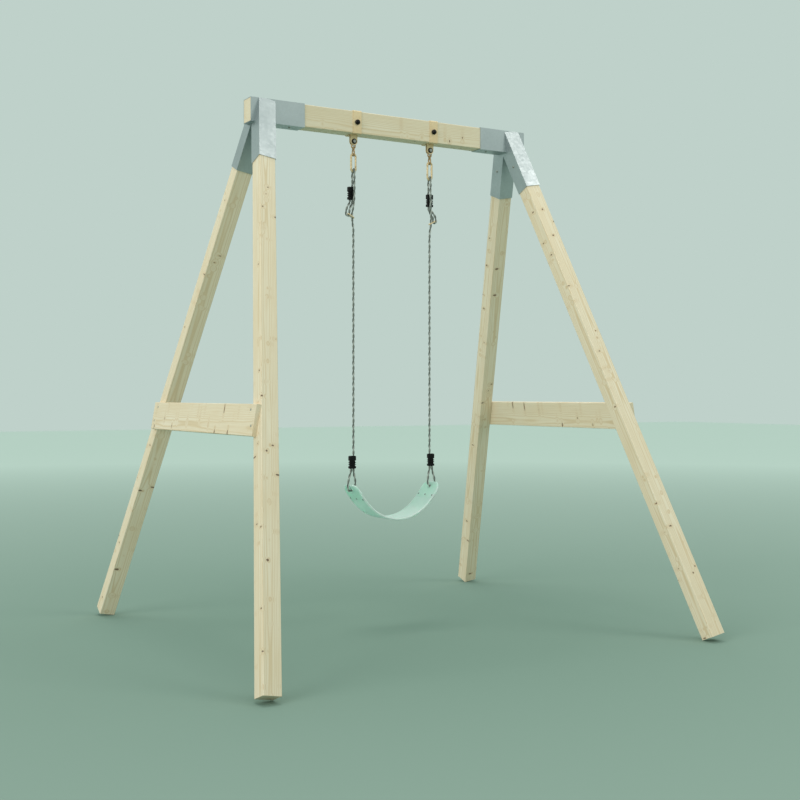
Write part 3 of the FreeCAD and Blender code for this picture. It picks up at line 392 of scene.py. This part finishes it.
def even(line, step):
    """The same line at about even steps, and its length."""
    lengths = [0.0]
    for a, b in zip(line, line[1:]):
        lengths.append(lengths[-1] + (b - a).length)
    count = max(4, round(lengths[-1] / step))
    out = []
    k = 0
    for i in range(count + 1):
        want = lengths[-1] * i / count
        while k < len(line) - 2 and lengths[k + 1] < want:
            k += 1
        run = max(lengths[k + 1] - lengths[k], 1e-9)
        out.append(line[k].lerp(line[k + 1], (want - lengths[k]) / run))
    return out, lengths[-1]


def frames(line):
    """A direction and two cross directions at each point, carried along without twisting."""
    out = []
    side = None
    for i, point in enumerate(line):
        ahead = (line[min(i + 1, len(line) - 1)] - line[max(i - 1, 0)]).normalized()
        if side is None:
            side = ahead.orthogonal().normalized()
        side = (side - ahead * side.dot(ahead)).normalized()
        out.append((point, ahead, side, ahead.cross(side)))
    return out


def strand_tube(bm, line, start_angle, pitch, helix, radius, yarns, ring):
    """One strand: a lobed tube that winds round the line, helix metres from it."""
    travelled = 0.0
    centres = []
    for i, (point, _, a, b) in enumerate(frames(line)):
        if i:
            travelled += (point - line[i - 1]).length
        angle = start_angle + 2 * math.pi * travelled / pitch
        centres.append(point + (a * math.cos(angle) + b * math.sin(angle)) * helix)
    rows = []
    travelled = 0.0
    for i, (point, _, a, b) in enumerate(frames(centres)):
        if i:
            travelled += (point - centres[i - 1]).length
        row = []
        for k in range(ring):
            turn = 2 * math.pi * k / ring
            lobe = 1.0 + 0.075 * math.cos(yarns * (turn - 2 * math.pi * travelled / (pitch * 0.9)))
            out = (a * math.cos(turn) + b * math.sin(turn)) * radius * lobe
            row.append(bm.verts.new(point + out))
        rows.append(row)
    for low, high in zip(rows, rows[1:]):
        for k in range(ring):
            j = (k + 1) % ring
            bm.faces.new((low[k], low[j], high[j], high[k]))
    bm.faces.new(rows[0][::-1])
    bm.faces.new(rows[-1])


def rope(name, points, node, mats):
    """A two-ply rope, one pale strand and one dark, in place of a CAD node."""
    line, length = even(route(name, points), LINE_STEP)
    bm = bmesh.new()
    for k in range(ROPE_STRANDS):
        before = len(bm.faces)
        strand_tube(bm, line, 2 * math.pi * k / ROPE_STRANDS, **ROPE_LAY)
        bm.faces.ensure_lookup_table()
        for face in bm.faces[before:]:
            face.material_index = k
    mesh = bpy.data.meshes.new(name)
    bm.to_mesh(mesh)
    bm.free()
    for face in mesh.polygons:
        face.use_smooth = True
    obj = bpy.data.objects.new(name, mesh)
    bpy.context.collection.objects.link(obj)
    for mat in mats:
        mesh.materials.append(mat)
    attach(obj, "swing")
    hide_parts(node)


def make_ropes():
    mats = (rope_material("rope_pale", linear(140, 144, 140), linear(206, 208, 200)),
            rope_material("rope_dark", linear(74, 80, 77), linear(126, 132, 126)))
    for side_name, sx in SIDES:
        # Up from the lower clamp, through the ring, over the carabiner's bow, into the upper clamp.
        main = [(ROPE_X, 0, 0.764), (ROPE_X, 0, 1.700), (ROPE_X, 0, 1.752), (0.1985, 0, 1.780),
                (0.2018, -0.0004, 1.800), (0.2008, -0.0020, 1.822), (0.1964, -0.0074, 1.852),
                (ROPE_X, -0.0096, 1.888), (ROPE_X, -0.0098, 1.950), (ROPE_X, -0.0098, 1.9855),
                (ROPE_X, -0.0099, 2.0005), (ROPE_X, -0.0048, 2.0096), (ROPE_X, 0.0048, 2.0096),
                (ROPE_X, 0.0099, 2.0005), (ROPE_X, 0.0102, 1.985), (ROPE_X, 0.0102, 1.933)]
        # Out of the upper clamp, round the ring and back.
        end_loop = [(ROPE_X, 0.0102, 1.877), (ROPE_X, 0.0102, 1.863), (0.2036, 0.0078, 1.847),
                    (0.2129, 0.0026, 1.831), (0.2131, 0, 1.8046), (0.2291, 0, 1.8046),
                    (0.2287, 0.0020, 1.827), (0.2206, 0.0066, 1.847), (0.206, 0.0102, 1.862),
                    (0.206, 0.0102, 1.877)]
        # Out of the lower clamp, through the seat's hole and back.
        lace = [(0.206, 0, 0.708), (0.206, 0, 0.695), (0.2136, 0, 0.672), (0.2206, 0, 0.648),
                (0.2222, 0, 0.616), (0.2094, 0, 0.609), (0.1867, 0, 0.6221), (0.1838, 0, 0.645),
                (0.188, 0, 0.671), (ROPE_X, 0, 0.695), (ROPE_X, 0, 0.708)]
        for piece, points, lay, extra in (
                ("rope_main", main, "taut", ("rope_adjuster_", "upper_clamp_")),
                ("rope_end_loop", end_loop, "hanging", ()),
                ("rope_seat_loop", lace, "taut", ("lower_clamp_",))):
            placed = [(sx * x, y, z) for x, y, z in points]
            rope(piece + "_strands_" + side_name, placed, piece + "_" + side_name, mats)


# ------------------------------------------------------------------ belt seat

# The belt hangs in a tight arc in the middle and a wider one at each end.
SEAT_LOW, MID_R, MID_A, END_R = 0.4835, 0.200, math.radians(42), 0.330
HOLE_SLOPE = math.radians(60)
HOLE_S = MID_R * MID_A + END_R * (HOLE_SLOPE - MID_A)
HOLE_RADIUS = 0.007
TIP_S = HOLE_S + 0.026
BELT_CORNER = 0.042
BEAD = 0.005
WEB_THINNING = 0.0016
WEB_START = 0.0115
PAD = (HOLE_S - 0.060, HOLE_S - 0.052)
INSETS = (0.0, 0.0004, 0.0013, 0.0027, BEAD, 0.0070, 0.0090, WEB_START, 0.018, 0.028, 0.0405)
ALONG, CORNER, ACROSS = 150, 14, 22
WEB_CELLS = 7


def belt_place(s, y, out):
    """Point on the belt in the frame: s along it, y across it, out of its underside."""
    run = abs(s)
    if run <= MID_R * MID_A:
        slope = run / MID_R
        x = MID_R * math.sin(slope)
        z = SEAT_LOW + MID_R * (1 - math.cos(slope))
    else:
        slope = MID_A + (run - MID_R * MID_A) / END_R
        x = MID_R * math.sin(MID_A) + END_R * (math.sin(slope) - math.sin(MID_A))
        z = SEAT_LOW + MID_R * (1 - math.cos(MID_A)) + END_R * (math.cos(MID_A) - math.cos(slope))
    x += out * math.sin(slope)
    z -= out * math.cos(slope)
    return Vector((math.copysign(x, s), y, z))


def smooth(value, low, high):
    share = min(max((value - low) / (high - low), 0.0), 1.0)
    return share * share * (3 - 2 * share)


def belt_half_thickness(d, s):
    """Half the belt's thickness at d inside its edge and s along it.

    The edge is a rounded bead. The web inside it is thinner, up to the pads that the rivets hold.
    """
    if d < BEAD:
        return math.sqrt(max(BEAD ** 2 - (BEAD - d) ** 2, 0.0))
    return BEAD - WEB_THINNING * smooth(d, BEAD, WEB_START) * (1.0 - smooth(abs(s), *PAD))


def belt_outline(inset):
    """The belt's plan at an inset from its edge: (s, y) points round a rounded rectangle."""
    half_l, half_w, r = TIP_S - inset, SEAT_HALF_WIDTH - inset, BELT_CORNER - inset
    turns = [math.pi / 2 * i / CORNER for i in range(CORNER)]
    points = [(-(half_l - r) + 2 * (half_l - r) * i / ALONG, -half_w) for i in range(ALONG)]
    points += [(half_l - r + r * math.sin(t), -half_w + r - r * math.cos(t)) for t in turns]
    points += [(half_l, -(half_w - r) + 2 * (half_w - r) * i / ACROSS) for i in range(ACROSS)]
    points += [(half_l - r + r * math.cos(t), half_w - r + r * math.sin(t)) for t in turns]
    return points + [(-s, -y) for s, y in points]


def add_face(bm, verts, way):
    """A face that looks out of the side of the belt that way says."""
    bm.faces.new(verts if way == 1 else verts[::-1])


def belt_web(bm, rim, way):
    """Fills the innermost outline: a grid straight across the belt, and one face at each end."""
    half = len(rim) // 2
    grid = []
    for i in range(ALONG + 1):
        a, b = rim[i], rim[half + ALONG - i]
        row = [a]
        for c in range(1, WEB_CELLS):
            row.append(bm.verts.new(a.co + (b.co - a.co) * c / WEB_CELLS))
        grid.append(row + [b])
    for left, right in zip(grid, grid[1:]):
        for c in range(WEB_CELLS):
            add_face(bm, [left[c], right[c], right[c + 1], left[c + 1]], way)
    for start, inner in ((ALONG, grid[-1][-2:0:-1]), (half + ALONG, grid[0][1:-1])):
        end = [rim[(start + i) % len(rim)] for i in range(2 * CORNER + ACROSS + 1)]
        add_face(bm, end + inner, way)


def belt_mesh():
    bm = bmesh.new()
    edge = None
    for way in (1, -1):
        rings = []
        for inset in INSETS:
            if edge and not rings:
                # The outermost outline has no thickness, so both sides share it.
                rings.append(edge)
                continue
            rings.append([bm.verts.new(belt_place(s, y, way * belt_half_thickness(inset, s)))
                          for s, y in belt_outline(inset)])
        edge = rings[0]
        for outer, inner in zip(rings, rings[1:]):
            for k in range(len(outer)):
                j = (k + 1) % len(outer)
                add_face(bm, [outer[k], outer[j], inner[j], inner[k]], way)
        belt_web(bm, rings[-1], way)
    bmesh.ops.triangulate(bm, faces=[f for f in bm.faces if len(f.verts) > 4])
    bmesh.ops.recalc_face_normals(bm, faces=bm.faces)
    mesh = bpy.data.meshes.new("belt_seat")
    bm.to_mesh(mesh)
    bm.free()
    return mesh


def make_seat(mat):
    seat = bpy.data.objects.new("belt_seat", belt_mesh())
    bpy.context.collection.objects.link(seat)
    for _, sx in SIDES:
        centre = belt_place(sx * HOLE_S, 0, 0)
        normal = Vector((sx * math.sin(HOLE_SLOPE), 0, -math.cos(HOLE_SLOPE)))
        bpy.ops.mesh.primitive_cylinder_add(vertices=48, radius=HOLE_RADIUS, depth=0.04,
                                            location=centre)
        punch = bpy.context.object
        punch.rotation_euler = normal.to_track_quat("Z", "Y").to_euler()
        bpy.context.view_layer.update()
        cutter = seat.modifiers.new("hole", "BOOLEAN")
        cutter.object = punch
        cutter.operation = "DIFFERENCE"
        cutter.solver = "EXACT"
        bpy.context.view_layer.objects.active = seat
        with bpy.context.temp_override(object=seat, active_object=seat):
            bpy.ops.object.modifier_apply(modifier="hole")
        bpy.data.objects.remove(punch)
    for face in seat.data.polygons:
        face.use_smooth = True
    seat.data.set_sharp_from_angle(angle=math.radians(50))
    seat.data.materials.append(mat)
    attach(seat, "belt")
    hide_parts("seat")


# ------------------------------------------------------------------ twisted necks of the swivel links

NECK_LOW, NECK_HIGH, NECK_STEPS = 2.0885, 2.108, 40
NECK_LAY = {"pitch": 0.030, "helix": 0.0029, "radius": 0.0029, "yarns": 1, "ring": 16}


def make_twists(mat):
    for side_name, sx in SIDES:
        bm = bmesh.new()
        line = [Vector((sx * ROPE_X, 0, NECK_LOW + (NECK_HIGH - NECK_LOW) * i / NECK_STEPS))
                for i in range(NECK_STEPS + 1)]
        for start_angle in (0.0, math.pi):
            strand_tube(bm, line, start_angle, **NECK_LAY)
        mesh = bpy.data.meshes.new("link_twist_" + side_name)
        bm.to_mesh(mesh)
        bm.free()
        for face in mesh.polygons:
            face.use_smooth = True
        twist = bpy.data.objects.new("link_twist_" + side_name, mesh)
        bpy.context.collection.objects.link(twist)
        mesh.materials.append(mat)
        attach(twist, "frame")


# ------------------------------------------------------------------ putting it together

def leg_axes(sx, sy):
    up = Vector((0, -math.sin(sy * LEG_ANGLE), math.cos(sy * LEG_ANGLE)))
    lean = Matrix.Rotation(-sx * SIDE_LEAN, 3, "Y")
    return lean @ up, lean @ Vector((1, 0, 0))


def paint_timber():
    paint(wood("wood_beam", (0, 0, 2.206), (1, 0, 0), (0, 1, 0), (0.010, -0.030), 1.3), "beam")
    seed = 2.0
    for side_name, sx in SIDES:
        apex = Vector((sx * 0.618, 0, 2.2481))
        for place, sy in (("front", -1), ("rear", 1)):
            up, across = leg_axes(sx, sy)
            seed += 1.7
            mat = wood("wood_leg_%s_%s" % (place, side_name), apex, up, across,
                       (0.008 * sx, 0.012 * sy), seed)
            paint(mat, "leg_%s_%s" % (place, side_name))
        lean = Matrix.Rotation(-sx * SIDE_LEAN, 3, "Y")
        seed += 1.1
        mat = wood("wood_brace_" + side_name, apex + lean @ Vector((sx * 0.044, 0, -1.3407)), (0, 1, 0),
                   lean @ Vector((0, 0, 1)), (-0.030, 0.045), seed)
        paint(mat, "brace_" + side_name)


def paint_fittings(gold_dark):
    """Everything but the timber, the ropes and the belt; each group has one material on both sides."""
    galvanised = metal("galvanised", linear(186, 193, 195), linear(166, 174, 176), 0.88, 0.42, 0.010,
                       0.24)
    gold = metal("gold_zinc", linear(240, 216, 176), linear(206, 174, 130), 0.40, 0.42, 0.004, 0.25, 0.4)
    bright = metal("bright_zinc", linear(168, 168, 160), linear(120, 122, 116), 0.65, 0.38, 0.004, 0.25,
                   0.3)
    rivet = metal("rivet_zinc", linear(128, 140, 134), linear(84, 96, 90), 0.55, 0.42, 0.004, 0.25, 0.3)
    black = plastic("black_plastic", linear(6, 6, 7), linear(14, 14, 15), 0.46, 900.0, 0.25)
    groups = (
        (galvanised, ("bracket_",)),
        (bright, ("bracket_screws_", "brace_screws_", "gate_rivet_", "ear_bolt_", "ear_nut_")),
        (rivet, ("seat_rivets_",)),
        (gold_dark, ("swivel_link_", "beam_bolt_", "beam_nut_")),
        (gold, ("hanger_strap_", "carabiner_", "carabiner_gate_", "rope_adjuster_")),
        (black, ("bolt_caps_", "upper_clamp_", "lower_clamp_", "ear_washers_")))
    for side_name, _ in SIDES:
        for mat, pieces in groups:
            paint(mat, *[piece + side_name for piece in pieces])


make_camera()
make_stage()
make_ropes()
make_seat(seat_material())
paint_timber()
links_gold = metal("gold_zinc_dark", linear(198, 168, 124), linear(128, 98, 66), 0.55, 0.38, 0.004, 0.3,
                   0.6)
paint_fittings(links_gold)
make_twists(links_gold)

bpy.context.view_layer.update()
